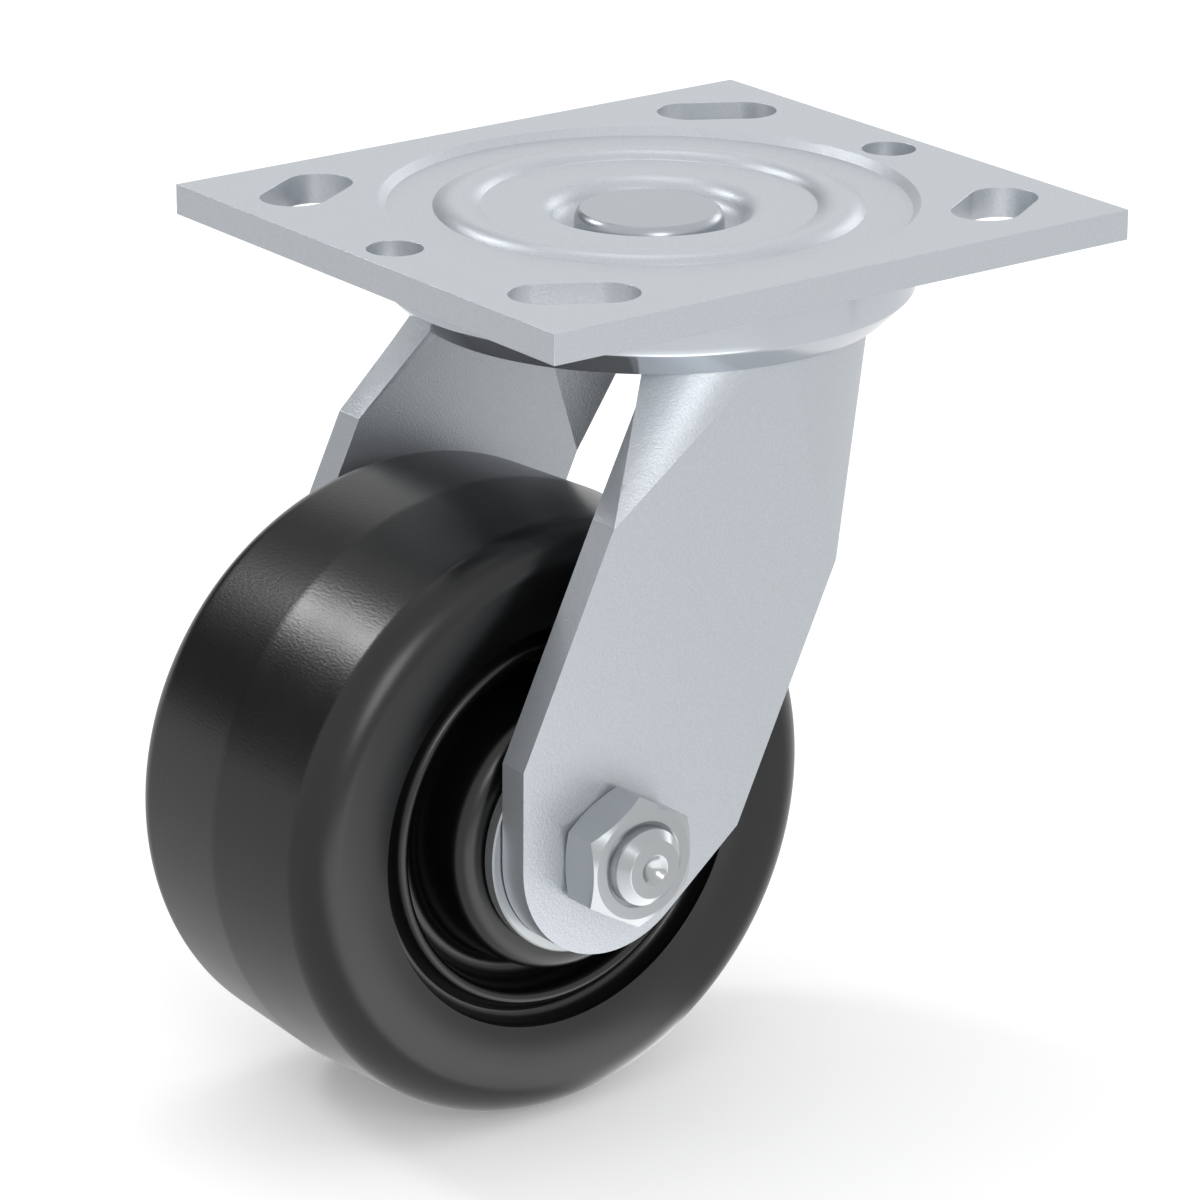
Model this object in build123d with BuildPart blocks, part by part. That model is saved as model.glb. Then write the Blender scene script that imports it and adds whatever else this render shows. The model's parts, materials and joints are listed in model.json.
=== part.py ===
from build123d import *
import os
from math import atan2, copysign, cos, degrees, floor, hypot, pi, radians, sin, sqrt, tan

# Swivel castor with a pressed top plate, a double ball race, a welded two-leg fork and a wheel on rollers.
# Millimetres. The origin is the centre of the plate's top face, on the swivel axis, and +Z is up.
# The wheel trails towards -X, and its axle lies along Y with the nut at the -Y end.

# Top plate, a sheet with sharp corners
plate_length = 114.3
plate_width = 101.6
plate_thickness = 5.0

# Four diagonal slots reach from a rectangular bolt pattern to a square one
bolt_wide_x = 92.08
bolt_wide_y = 66.68
bolt_square = 76.2
slot_width = 11.1

# Two round holes on the plate's long middle line
side_hole_spacing = 100.0
side_hole_diameter = 9.0

# Pressed disc in the plate: a shallow step, a raised bead over the balls and a dimple for the kingpin's head
pressed_radius = 43.5
pressed_step = 1.27
bead_height = 1.0
bead_cover = 3.8
dimple_radius = 19.0
dimple_floor_radius = 12.6
dimple_depth = 5.5
dimple_sheet = 4.8
dimple_lip = 1.5
disc_margin = 0.5

# Upper ball row, between the plate and the fork base
upper_ball_diameter = 9.525
upper_race_radius = 30.75
lower_ball_diameter = 4.7625
lower_race_radius = 15.5
race_clearance = 0.05
ball_spacing = 0.05

# Fork base, a turned ring with a thin middle
base_radius = 43.0
base_bottom_radius = 38.6
base_bevel_height = 4.35
base_bottom = 17.7
base_gap = 0.63
base_edge_radius = 0.6
base_lip_clearance = 0.3
base_land_width = 4.0
base_web = 3.6
base_web_gap = 0.5
base_recess_radius = 22.5
base_recess_draft = 1.0
kingpin_bore_clearance = 1.2

# Lower race, a grooved washer held up by the kingpin
lower_race_outer_radius = 20.0
lower_race_thickness = 3.15
lower_race_gap = 2.45

# Kingpin, with a round head above and an upset head below
kingpin_diameter = 15.875
kingpin_neck_diameter = 12.7
kingpin_head_diameter = 24.2
kingpin_head_flat_diameter = 22.26
kingpin_head_top = 1.82
kingpin_head_shoulder = 1.82
kingpin_rivet_diameter = 23.0
kingpin_rivet_height = 4.0
pressed_fit = 0.01

# Fork legs: flat plates whose two upper corners curl in under the fork base
leg_thickness = 5.55
leg_inner_half_width = 31.45
leg_end_radius = 17.45
rear_tip_x = -35.14
rear_tip_drop = 38.96
rear_corner_drop = 75.3
front_tip_x = 9.57
front_tip_drop = 53.11
front_corner_x = -9.8
front_corner_drop = 94.06
rear_bend_start = 6.1
rear_bend_radius = 20.0
rear_bend_angle = 57.0
front_bend_start = 1.5
front_bend_radius = 36.4
front_bend_angle = 49.8
wing_shares = (1, 0.85, 0.7, 0.55, 0.4, 0.28, 0.18, 0.1, 0.05, 0.02, 0.005)
wing_points = 7
wing_overlap = 0.07

# Axle, behind and below the swivel axis
axle_offset = 34.925
axle_drop = 92.075
bolt_diameter = 12.7
bolt_hole_clearance = 0.1
bolt_end_reach = 10.9
bolt_chamfer = 1.6
centre_hole_diameter = 4.9
centre_hole_depth = 2.2
head_across_flats = 19.05
head_height = 8.0
nut_across_flats = 19.05
nut_height = 7.94
nut_dish = 1.05
hex_chamfer_share = 0.985
hex_chamfer_angle = 41.0
thread_clearance = 0.02

# Spanner bushing, the fixed tube that the rollers run on
bushing_diameter = 19.05
bushing_bore_clearance = 0.1
bushing_end_gap = 0.03

# Roller bearing in the wheel's bore
roller_diameter = 5.0
roller_count = 10
roller_length = 46.0
roller_clearance = 0.03
roller_end_gap = 0.25
cage_length = 54.0
cage_wall = 3.4
cage_pocket_clearance = 0.2
bearing_chamfer = 0.3

# Thrust washers, between the wheel's hub and the legs
washer_radius = 19.05
washer_thickness = 2.4
washer_bore_clearance = 0.1
washer_edge = 0.25

# Wheel, moulded in one piece with a recess in each side
wheel_radius = 50.8
wheel_width = 50.8
hub_length = 57.0
tread_edge_radius = 49.9
tread_edge_half = 19.4
shoulder_radius = 43.9
side_dish = 1.3
side_fall = 0.22
recess_radius = 34.1
recess_wall = 1.5
gutter_depth = 3.6
gutter_radius = 32.6
ledge_radius = 30.0
ledge_depth = 2.6
groove_outer_radius = 28.2
groove_inner_radius = 24.2
groove_depth = 9.5
boss_radius = 23.4
boss_face_radius = 20.4
boss_shoulder = 3.0


def write(piece, name):
    """Label a finished piece and write it to its own STEP file."""
    piece.label = name
    export_step(piece, f"parts/{name}.step")


def ring_count(radius, diameter):
    """How many balls of a diameter fill a ring, with a small gap between neighbours."""
    return floor(pi / atan2(diameter + ball_spacing, sqrt(4 * radius**2 - (diameter + ball_spacing) ** 2)))


# Heights down the swivel axis, worked out from the sheet and the balls
upper_groove = upper_ball_diameter / 2 + race_clearance
lower_groove = lower_ball_diameter / 2 + race_clearance
disc_top = -pressed_step
disc_under = disc_top - plate_thickness
upper_ball_z = disc_top + bead_height - bead_cover - upper_groove
upper_groove_half = sqrt(upper_groove**2 - (disc_under - upper_ball_z) ** 2)
dimple_under = -dimple_depth - dimple_sheet
base_top = disc_under - base_gap
web_top = dimple_under - base_web_gap
web_under = web_top - base_web
lower_race_top = web_under - lower_race_gap
lower_ball_z = (web_under + lower_race_top) / 2
lower_groove_half = sqrt(lower_groove**2 - (web_under - lower_ball_z) ** 2)
lower_race_under = lower_race_top - lower_race_thickness
leg_top = -base_bottom

# Radii about the swivel axis
kingpin_radius = kingpin_diameter / 2
kingpin_bore = kingpin_radius + kingpin_bore_clearance
plate_bore = kingpin_radius + pressed_fit
step_slope = tan(radians(22.5)) * plate_thickness
disc_edge = pressed_radius + step_slope + disc_margin

# Places along the axle
axle = (-axle_offset, 0, -axle_drop)
axle_line = Axis(axle, (0, 1, 0))
axle_profile = Plane(origin=axle, x_dir=(1, 0, 0), z_dir=(0, 0, 1))
leg_outer = leg_inner_half_width + leg_thickness
bolt_radius = bolt_diameter / 2
bushing_radius = bushing_diameter / 2
roller_pitch = bushing_radius + roller_clearance + roller_diameter / 2
hub_bore = roller_pitch + roller_diameter / 2 + roller_clearance

os.makedirs("parts", exist_ok=True)

# Top plate
with BuildPart() as top_plate:
    with BuildSketch(Plane.XY.offset(-plate_thickness)):
        Rectangle(plate_length, plate_width)
    extrude(amount=plate_thickness)
    with Locations((0, 0, 0)):
        Hole(disc_edge)
    with BuildSketch(Plane.XZ):
        with BuildLine():
            step_foot = pressed_radius - pressed_step
            top_flat = Polyline(
                (disc_edge, 0),
                (pressed_radius, 0),
                (step_foot, disc_top),
                (upper_race_radius + upper_groove_half, disc_top),
            )
            bead = ThreePointArc(
                top_flat @ 1,
                (upper_race_radius, disc_top + bead_height),
                (upper_race_radius - upper_groove_half, disc_top),
            )
            Line(bead @ 1, (dimple_radius, disc_top))
            dimple_middle = (dimple_radius + dimple_floor_radius) / 2
            fall = TangentArc(
                (dimple_radius, disc_top), (dimple_middle, (disc_top - dimple_depth) / 2), tangent=(-1, 0)
            )
            foot = TangentArc(fall @ 1, (dimple_floor_radius, -dimple_depth), tangent=fall % 1)
            dimple_corner = dimple_floor_radius + dimple_sheet / 2
            dimple_brow = dimple_radius + dimple_lip
            bottom = Polyline(
                foot @ 1,
                (plate_bore, -dimple_depth),
                (plate_bore, dimple_under),
                (dimple_corner, dimple_under),
            )
            rise = TangentArc(
                bottom @ 1,
                ((dimple_corner + dimple_brow) / 2, (dimple_under + disc_under) / 2),
                tangent=(1, 0),
            )
            brow = TangentArc(rise @ 1, (dimple_brow, disc_under), tangent=rise % 1)
            Line(brow @ 1, (upper_race_radius - upper_groove_half, disc_under))
            ThreePointArc(
                (upper_race_radius - upper_groove_half, disc_under),
                (upper_race_radius, upper_ball_z + upper_groove),
                (upper_race_radius + upper_groove_half, disc_under),
            )
            Polyline(
                (upper_race_radius + upper_groove_half, disc_under),
                (step_foot + step_slope, disc_under),
                (pressed_radius + step_slope, -plate_thickness),
                (disc_edge, -plate_thickness),
                (disc_edge, 0),
            )
        make_face()
    revolve(axis=Axis.Z)
    # Each slot's middle, length and direction come from the two bolt patterns that it joins
    slot_run_x = (bolt_wide_x - bolt_square) / 2
    slot_run_y = (bolt_square - bolt_wide_y) / 2
    slot_mid_x = (bolt_wide_x + bolt_square) / 4
    slot_mid_y = (bolt_square + bolt_wide_y) / 4
    slot_turn = degrees(atan2(slot_run_y, slot_run_x))
    with BuildSketch(Plane.XY):
        for side_x in (-1, 1):
            for side_y in (-1, 1):
                slot_middle = (side_x * slot_mid_x, side_y * slot_mid_y)
                with Locations(Location(slot_middle, -side_x * side_y * slot_turn)):
                    SlotCenterToCenter(hypot(slot_run_x, slot_run_y), slot_width)
    extrude(amount=-plate_thickness, mode=Mode.SUBTRACT)
    with Locations((-side_hole_spacing / 2, 0, 0), (side_hole_spacing / 2, 0, 0)):
        Hole(side_hole_diameter / 2)
write(top_plate.part, "top_plate")

# Kingpin, riveted through the plate and the lower race
with BuildPart() as kingpin:
    with BuildSketch(Plane.XZ):
        with BuildLine():
            head_radius = kingpin_head_diameter / 2
            neck_radius = kingpin_neck_diameter / 2
            rivet_radius = kingpin_rivet_diameter / 2
            rivet_bottom = lower_race_under - kingpin_rivet_height
            Polyline(
                (0, rivet_bottom),
                (0, -kingpin_head_top),
                (kingpin_head_flat_diameter / 2, -kingpin_head_top),
            )
            shoulder_foot = (head_radius, -kingpin_head_top - kingpin_head_shoulder)
            TangentArc(shoulder_foot, (kingpin_head_flat_diameter / 2, -kingpin_head_top), tangent=(0, 1))
            Polyline(
                shoulder_foot,
                (head_radius, -dimple_depth),
                (kingpin_radius, -dimple_depth),
                (kingpin_radius, lower_race_top),
                (neck_radius, lower_race_top),
                (neck_radius, lower_race_under),
                (rivet_radius, lower_race_under),
                (rivet_radius, lower_race_under - kingpin_rivet_height / 4),
            )
            Spline(
                (rivet_radius, lower_race_under - kingpin_rivet_height / 4),
                (0, rivet_bottom),
                tangents=((0, -1), (-1, 0)),
            )
        make_face()
    revolve(axis=Axis.Z)
write(kingpin.part, "kingpin")

# Lower race washer
with BuildPart() as lower_race:
    with BuildSketch(Plane.XZ):
        with BuildLine():
            washer_hole = kingpin_neck_diameter / 2 + pressed_fit
            Polyline(
                (lower_race_radius - lower_groove_half, lower_race_top),
                (washer_hole, lower_race_top),
                (washer_hole, lower_race_under),
                (lower_race_outer_radius, lower_race_under),
                (lower_race_outer_radius, lower_race_top),
                (lower_race_radius + lower_groove_half, lower_race_top),
            )
            ThreePointArc(
                (lower_race_radius + lower_groove_half, lower_race_top),
                (lower_race_radius, lower_ball_z - lower_groove),
                (lower_race_radius - lower_groove_half, lower_race_top),
            )
        make_face()
    revolve(axis=Axis.Z)
write(lower_race.part, "lower_race")

# Upper balls, a full row of separate balls
upper_count = ring_count(upper_race_radius, upper_ball_diameter)
for number in range(upper_count):
    turn = radians(360 * number / upper_count)
    place = (upper_race_radius * cos(turn), upper_race_radius * sin(turn), upper_ball_z)
    with BuildPart() as ball:
        with Locations(place):
            Sphere(upper_ball_diameter / 2)
    write(ball.part, f"upper_ball_{number + 1:02d}")

# Lower balls, a full row in one node
with BuildPart() as lower_balls:
    with Locations((0, 0, lower_ball_z)):
        with PolarLocations(lower_race_radius, ring_count(lower_race_radius, lower_ball_diameter)):
            Sphere(lower_ball_diameter / 2)
write(lower_balls.part, "lower_balls")

# Fork base, which turns on both ball rows
with BuildPart() as fork_base:
    with BuildSketch(Plane.XZ):
        with BuildLine():
            land_inner = upper_race_radius - upper_groove - base_land_width
            Polyline(
                (kingpin_bore, web_top),
                (land_inner - (upper_ball_z - web_top) / 2, web_top),
                (land_inner, upper_ball_z),
                (upper_race_radius - upper_groove, upper_ball_z),
            )
            ThreePointArc(
                (upper_race_radius - upper_groove, upper_ball_z),
                (upper_race_radius, upper_ball_z - upper_groove),
                (upper_race_radius + upper_groove, upper_ball_z),
            )
            lip_inner = upper_race_radius + upper_groove + base_lip_clearance
            Polyline(
                (upper_race_radius + upper_groove, upper_ball_z),
                (lip_inner, upper_ball_z + base_lip_clearance),
                (lip_inner, base_top),
                (base_radius - base_edge_radius, base_top),
            )
            RadiusArc(
                (base_radius - base_edge_radius, base_top),
                (base_radius, base_top - base_edge_radius),
                base_edge_radius,
            )
            Polyline(
                (base_radius, base_top - base_edge_radius),
                (base_radius, leg_top + base_bevel_height),
                (base_bottom_radius, leg_top),
                (base_recess_radius, leg_top),
                (base_recess_radius - base_recess_draft, web_under),
                (lower_race_radius + lower_groove_half, web_under),
            )
            ThreePointArc(
                (lower_race_radius + lower_groove_half, web_under),
                (lower_race_radius, lower_ball_z + lower_groove),
                (lower_race_radius - lower_groove_half, web_under),
            )
            Polyline(
                (lower_race_radius - lower_groove_half, web_under),
                (kingpin_bore, web_under),
                (kingpin_bore, web_top),
            )
        make_face()
    revolve(axis=Axis.Z)
write(fork_base.part, "fork_base")


def wing_row(tip_x, start_x, face, radius, turn, share):
    """Points across one face of a leg's curled corner, at one level from share 1 at the weld to 0 at the tip.

    The face is ruled: as s runs from 0 to 1, a straight line joins the point at s along the bend line to the
    point at s along the arc at the weld. The row starts a little before the bend line.
    """
    forward = copysign(1, tip_x - start_x)
    row = []
    for step in range(-1, wing_points - 1):
        s = 1 - share + share * (-wing_overlap if step < 0 else step / (wing_points - 2))
        sweep = radians(s * turn)
        bend_x = start_x + s * (tip_x - start_x)
        weld_x = start_x + forward * radius * sin(sweep)
        weld_y = radius * (1 - cos(sweep)) - face
        reach = 1 - (1 - share) / s if share < 1 else 1
        row.append((bend_x + reach * (weld_x - bend_x), reach * (weld_y + face) - face))
    return row


def wing(tip_x, tip_z, start_x, bend_radius, turn):
    """A leg's curled corner, lofted through its level rows and trimmed by the bend line's plane."""
    forward = copysign(1, tip_x - start_x)
    inner_radius = bend_radius - leg_thickness
    with BuildPart() as curl:
        for share in wing_shares:
            outer_row = wing_row(tip_x, start_x, leg_outer, bend_radius, turn, share)
            inner_row = wing_row(tip_x, start_x, leg_inner_half_width, inner_radius, turn, share)
            with BuildSketch(Plane.XY.offset((1 - share) * tip_z + share * leg_top)):
                with BuildLine():
                    Line(outer_row[0], outer_row[1])
                    Spline(*outer_row[1:])
                    Line(inner_row[0], inner_row[1])
                    Spline(*inner_row[1:])
                    Line(outer_row[0], inner_row[0])
                    Line(outer_row[-1], inner_row[-1])
                make_face()
        loft(ruled=True)
        bend_normal = (forward * (leg_top - tip_z), 0, forward * (tip_x - start_x))
        bend_plane = Plane(origin=(start_x, 0, leg_top), x_dir=(0, 1, 0), z_dir=bend_normal)
        split(bisect_by=bend_plane, keep=Keep.TOP)
    return curl.part


# The near leg, cut from sheet, with its two curled corners and the hole for the axle bolt
rear_tip = (rear_tip_x, -rear_tip_drop)
front_tip = (front_tip_x, -front_tip_drop)
with BuildPart() as leg:
    with BuildSketch(Plane.XZ.offset(leg_inner_half_width)):
        with BuildLine():
            end_rear = (-axle_offset - leg_end_radius, -axle_drop)
            front_corner = (front_corner_x, -front_corner_drop)
            # The rounded end meets the front edge where a line from the corner touches its circle
            reach_x = front_corner_x + axle_offset
            reach_z = axle_drop - front_corner_drop
            lean = atan2(reach_z, reach_x)
            open_angle = atan2(sqrt(reach_x**2 + reach_z**2 - leg_end_radius**2), leg_end_radius)
            touch = lean - open_angle
            end_front = (
                -axle_offset + leg_end_radius * cos(touch),
                -axle_drop + leg_end_radius * sin(touch),
            )
            end_middle = (touch - pi) / 2
            Polyline(
                end_front,
                front_corner,
                front_tip,
                (-front_bend_start, leg_top),
                (-rear_bend_start, leg_top),
                rear_tip,
                (end_rear[0], -rear_corner_drop),
                end_rear,
            )
            ThreePointArc(
                end_rear,
                (
                    -axle_offset + leg_end_radius * cos(end_middle),
                    -axle_drop + leg_end_radius * sin(end_middle),
                ),
                end_front,
            )
        make_face()
    extrude(amount=leg_thickness)
    add(wing(*rear_tip, -rear_bend_start, rear_bend_radius, rear_bend_angle))
    add(wing(*front_tip, -front_bend_start, front_bend_radius, front_bend_angle))
    with BuildSketch(Plane.XZ.offset(leg_outer)):
        with Locations((-axle_offset, -axle_drop)):
            Circle(bolt_radius + bolt_hole_clearance)
    extrude(amount=-leg_thickness, mode=Mode.SUBTRACT)
write(leg.part, "nut_side_leg")

with BuildPart() as far_leg:
    add(mirror(leg.part, about=Plane.XZ, mode=Mode.PRIVATE))
write(far_leg.part, "head_side_leg")

# Wheel, drawn as half a section from the middle outwards and mirrored
with BuildPart() as wheel:
    with BuildSketch(axle_profile):
        half_width = wheel_width / 2
        half_hub = hub_length / 2
        dish_edge = half_width - side_dish
        with BuildLine():
            Polyline((hub_bore, 0), (hub_bore, half_hub), (boss_face_radius, half_hub))
            RadiusArc((boss_face_radius, half_hub), (boss_radius, half_hub - boss_shoulder), boss_shoulder)
            groove_floor = half_width - groove_depth
            groove_radius = (groove_outer_radius - groove_inner_radius) / 2
            Line((boss_radius, half_hub - boss_shoulder), (groove_inner_radius, groove_floor + groove_radius))
            ThreePointArc(
                (groove_inner_radius, groove_floor + groove_radius),
                ((groove_inner_radius + groove_outer_radius) / 2, groove_floor),
                (groove_outer_radius, groove_floor + groove_radius),
            )
            Spline(
                (groove_outer_radius, groove_floor + groove_radius),
                (ledge_radius, half_width - ledge_depth),
                (gutter_radius, dish_edge - gutter_depth),
                tangents=((0.15, 1), (1, 0)),
            )
            Spline(
                (gutter_radius, dish_edge - gutter_depth),
                (recess_radius, dish_edge - recess_wall),
                tangents=((1, 0), (0, 1)),
            )
            Line((recess_radius, dish_edge - recess_wall), (recess_radius, dish_edge))
            Spline(
                (recess_radius, dish_edge),
                ((recess_radius + shoulder_radius) / 2, half_width - side_fall),
                (shoulder_radius, half_width),
                tangents=((1, 0.35), (1, 0)),
            )
            Spline(
                (shoulder_radius, half_width),
                (tread_edge_radius, tread_edge_half),
                tangents=((1, 0), (wheel_radius - tread_edge_radius, -tread_edge_half)),
            )
            Polyline((tread_edge_radius, tread_edge_half), (wheel_radius, 0), (hub_bore, 0))
        make_face()
        mirror(about=Plane.XZ)
    revolve(axis=axle_line)
write(wheel.part, "wheel")

# Spanner bushing
with BuildPart() as spanner_bushing:
    with BuildSketch(Plane.XZ.offset(-leg_inner_half_width + bushing_end_gap)):
        with Locations((-axle_offset, -axle_drop)):
            Circle(bushing_radius)
            Circle(bolt_radius + bushing_bore_clearance, mode=Mode.SUBTRACT)
    extrude(amount=2 * (leg_inner_half_width - bushing_end_gap))
    chamfer(spanner_bushing.edges().filter_by(GeomType.CIRCLE), bearing_chamfer)
write(spanner_bushing.part, "spanner_bushing")

# Thrust washers, one at each end of the hub
washer_middle = (leg_inner_half_width + hub_length / 2) / 2
for side, name in ((-1, "nut_side_thrust_washer"), (1, "head_side_thrust_washer")):
    with BuildPart() as thrust_washer:
        with BuildSketch(Plane.XZ.offset(-side * washer_middle - washer_thickness / 2)):
            with Locations((-axle_offset, -axle_drop)):
                Circle(washer_radius)
                Circle(bushing_radius + washer_bore_clearance, mode=Mode.SUBTRACT)
        extrude(amount=washer_thickness)
        chamfer(thrust_washer.edges().filter_by(GeomType.CIRCLE).group_by(SortBy.RADIUS)[-1], washer_edge)
    write(thrust_washer.part, name)

# Rollers, which lie along the axle between the bushing and the wheel's bore
roller_places = []
for number in range(roller_count):
    turn = radians(360 * number / roller_count)
    roller_places.append((-axle_offset + roller_pitch * cos(turn), -axle_drop + roller_pitch * sin(turn)))
for number, place in enumerate(roller_places):
    with BuildPart() as roller:
        with BuildSketch(Plane.XZ.offset(-roller_length / 2)):
            with Locations(place):
                Circle(roller_diameter / 2)
        extrude(amount=roller_length)
        chamfer(roller.edges().filter_by(GeomType.CIRCLE), bearing_chamfer)
    write(roller.part, f"roller_{number + 1:02d}")

# Cage, a tube with a pocket for each roller
with BuildPart() as roller_cage:
    with BuildSketch(Plane.XZ.offset(-cage_length / 2)):
        with Locations((-axle_offset, -axle_drop)):
            Circle(roller_pitch + cage_wall / 2)
            Circle(roller_pitch - cage_wall / 2, mode=Mode.SUBTRACT)
    extrude(amount=cage_length)
    pocket_half = roller_length / 2 + roller_end_gap
    with BuildSketch(Plane.XZ.offset(-pocket_half)):
        with Locations(*roller_places):
            Circle(roller_diameter / 2 + cage_pocket_clearance)
    extrude(amount=2 * pocket_half, mode=Mode.SUBTRACT)
write(roller_cage.part, "roller_cage")


def hex_blank(across_flats, near, far):
    """A hexagonal prism along the axle from near to far, with both ends turned down to a cone's edge."""
    corner = across_flats / sqrt(3)
    rim = hex_chamfer_share * across_flats / 2
    drop = (corner - rim) * tan(radians(hex_chamfer_angle))
    with BuildPart() as blank:
        with BuildSketch(Plane.XZ.offset(-far)):
            with Locations(Location((-axle_offset, -axle_drop), 90)):
                RegularPolygon(corner, 6)
        extrude(amount=far - near)
        with BuildSketch(axle_profile):
            with BuildLine():
                Polyline(
                    (0, near),
                    (rim, near),
                    (corner, near + drop),
                    (corner, far - drop),
                    (rim, far),
                    (0, far),
                    close=True,
                )
            make_face()
        revolve(axis=axle_line, mode=Mode.INTERSECT)
    return blank.part


# Axle bolt: shank from the far leg through everything to its chamfered end past the nut
bolt_end = -leg_outer - bolt_end_reach
with BuildPart() as axle_bolt:
    with BuildSketch(axle_profile):
        with BuildLine():
            Polyline(
                (0, leg_outer + head_height / 2),
                (bolt_radius, leg_outer + head_height / 2),
                (bolt_radius, bolt_end + bolt_chamfer),
                (bolt_radius - bolt_chamfer, bolt_end),
                (centre_hole_diameter / 2, bolt_end),
                (0, bolt_end + centre_hole_depth),
                close=True,
            )
        make_face()
    revolve(axis=axle_line)
    add(hex_blank(head_across_flats, leg_outer, leg_outer + head_height))
write(axle_bolt.part, "axle_bolt")

# Axle nut, seated on the near leg, with a shallow dish in its outer face
with BuildPart() as axle_nut:
    nut_face = -leg_outer - nut_height
    nut_bore = bolt_radius + thread_clearance
    add(hex_blank(nut_across_flats, nut_face, -leg_outer))
    with BuildSketch(axle_profile):
        Polygon(
            (0, nut_face),
            (hex_chamfer_share * nut_across_flats / 2, nut_face),
            (nut_bore, nut_face + nut_dish),
            (0, nut_face + nut_dish),
            align=None,
        )
    revolve(axis=axle_line, mode=Mode.SUBTRACT)
    with BuildSketch(Plane.XZ.offset(leg_outer)):
        with Locations((-axle_offset, -axle_drop)):
            Circle(nut_bore)
    extrude(amount=nut_height, mode=Mode.SUBTRACT)
write(axle_nut.part, "axle_nut")
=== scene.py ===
import json
import math

import bmesh
import bpy
import numpy as np
from bpy.props import BoolProperty, FloatProperty, FloatVectorProperty, IntProperty, PointerProperty
from mathutils import Matrix, Vector

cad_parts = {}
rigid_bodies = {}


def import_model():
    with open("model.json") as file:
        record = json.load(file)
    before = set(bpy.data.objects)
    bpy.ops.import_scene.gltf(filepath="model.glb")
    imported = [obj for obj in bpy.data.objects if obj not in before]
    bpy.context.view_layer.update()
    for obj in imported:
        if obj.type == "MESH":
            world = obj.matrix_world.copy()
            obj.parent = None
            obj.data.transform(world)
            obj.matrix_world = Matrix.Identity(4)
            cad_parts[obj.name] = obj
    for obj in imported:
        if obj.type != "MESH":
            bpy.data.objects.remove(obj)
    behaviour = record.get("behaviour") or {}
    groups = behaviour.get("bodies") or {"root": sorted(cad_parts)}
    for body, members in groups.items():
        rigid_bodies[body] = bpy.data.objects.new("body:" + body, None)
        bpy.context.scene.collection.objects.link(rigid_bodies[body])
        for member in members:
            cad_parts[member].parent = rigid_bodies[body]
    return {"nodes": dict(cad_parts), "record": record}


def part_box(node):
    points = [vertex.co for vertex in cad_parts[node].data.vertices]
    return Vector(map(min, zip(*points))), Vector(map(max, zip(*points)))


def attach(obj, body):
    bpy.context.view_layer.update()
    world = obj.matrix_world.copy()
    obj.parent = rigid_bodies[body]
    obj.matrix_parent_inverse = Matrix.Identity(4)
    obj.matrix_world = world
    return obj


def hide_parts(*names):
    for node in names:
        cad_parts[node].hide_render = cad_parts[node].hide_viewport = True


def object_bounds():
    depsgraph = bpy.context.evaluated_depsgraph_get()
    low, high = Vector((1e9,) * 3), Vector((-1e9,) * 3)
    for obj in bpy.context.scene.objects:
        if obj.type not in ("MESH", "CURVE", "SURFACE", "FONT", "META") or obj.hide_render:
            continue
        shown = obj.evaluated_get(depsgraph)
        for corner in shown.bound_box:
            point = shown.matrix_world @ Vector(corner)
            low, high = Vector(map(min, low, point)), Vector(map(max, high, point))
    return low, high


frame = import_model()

bl_info = {
    "name": "Swivel Castor",
    "version": (1, 0, 0),
    "blender": (4, 5, 0),
    "location": "View3D > Sidebar > Castor",
    "description": "Dresses a packed swivel castor and sets up its studio",
    "category": "Object",
}

CAD_BOX = [list(corner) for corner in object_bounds()]
MM = 0.001

WHEEL_LOW, WHEEL_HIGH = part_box("wheel")
NUT_LOW, NUT_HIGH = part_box("axle_nut")
AXLE = (WHEEL_LOW + WHEEL_HIGH) / 2
WHEEL_RADIUS = (WHEEL_HIGH.x - WHEEL_LOW.x) / 2

# Plating: noise features to the metre, the crystals' height and the speckle's share of the colour
CRYSTALS, SPECKLES, DULL_PATCHES, CLOUDS = 2800, 2600, 70, 90
CRYSTAL_HEIGHT = 0.05 * MM
SPECKLE_SHARE = 0.15

# The plate's bead: middle radius, half width and the height that shading adds
PLATE_BEAD = (30.9 * MM, 3.9 * MM, 1.4 * MM)

# Tread: the ripple's spacing round the axle and along it, its height, and where it starts and is full
RIPPLE_ROUND, RIPPLE_ALONG, RIPPLE_HEIGHT = 0.42 * MM, 1.1 * MM, 0.014 * MM
RIPPLE_START, RIPPLE_FULL = 49.7 * MM, 50.0 * MM
MOULDING_CLOUDS = 120

# Axle nut: width across flats, bore radius, outer radius of the flat ring, and the countersink's width
NUT_FLATS, NUT_BORE, NUT_RING, NUT_COUNTERSINK = 19.05 * MM, 6.37 * MM, 9.05 * MM, 0.78 * MM
NUT_CONE = 30

# Studio: its middle, the columns of a card, and the painted glow and painted shade, brighter or dimmer,
# that reflections see on the floor
STUDIO_MIDDLE = Vector((-0.02, 0.0, -0.06))
CARD_COLUMNS = 25
FLOOR_HALF = 3.0
# Painted glow that reflections see on the floor near the middle, and painted shade behind
FLOOR_PAINTED_GLOW, FLOOR_PAINTED_GLOW_REACH, FLOOR_PAINTED_GLOW_FADE = 1.4, 0.33, 1.35
FLOOR_PAINTED_SHADE = 0.18


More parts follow.
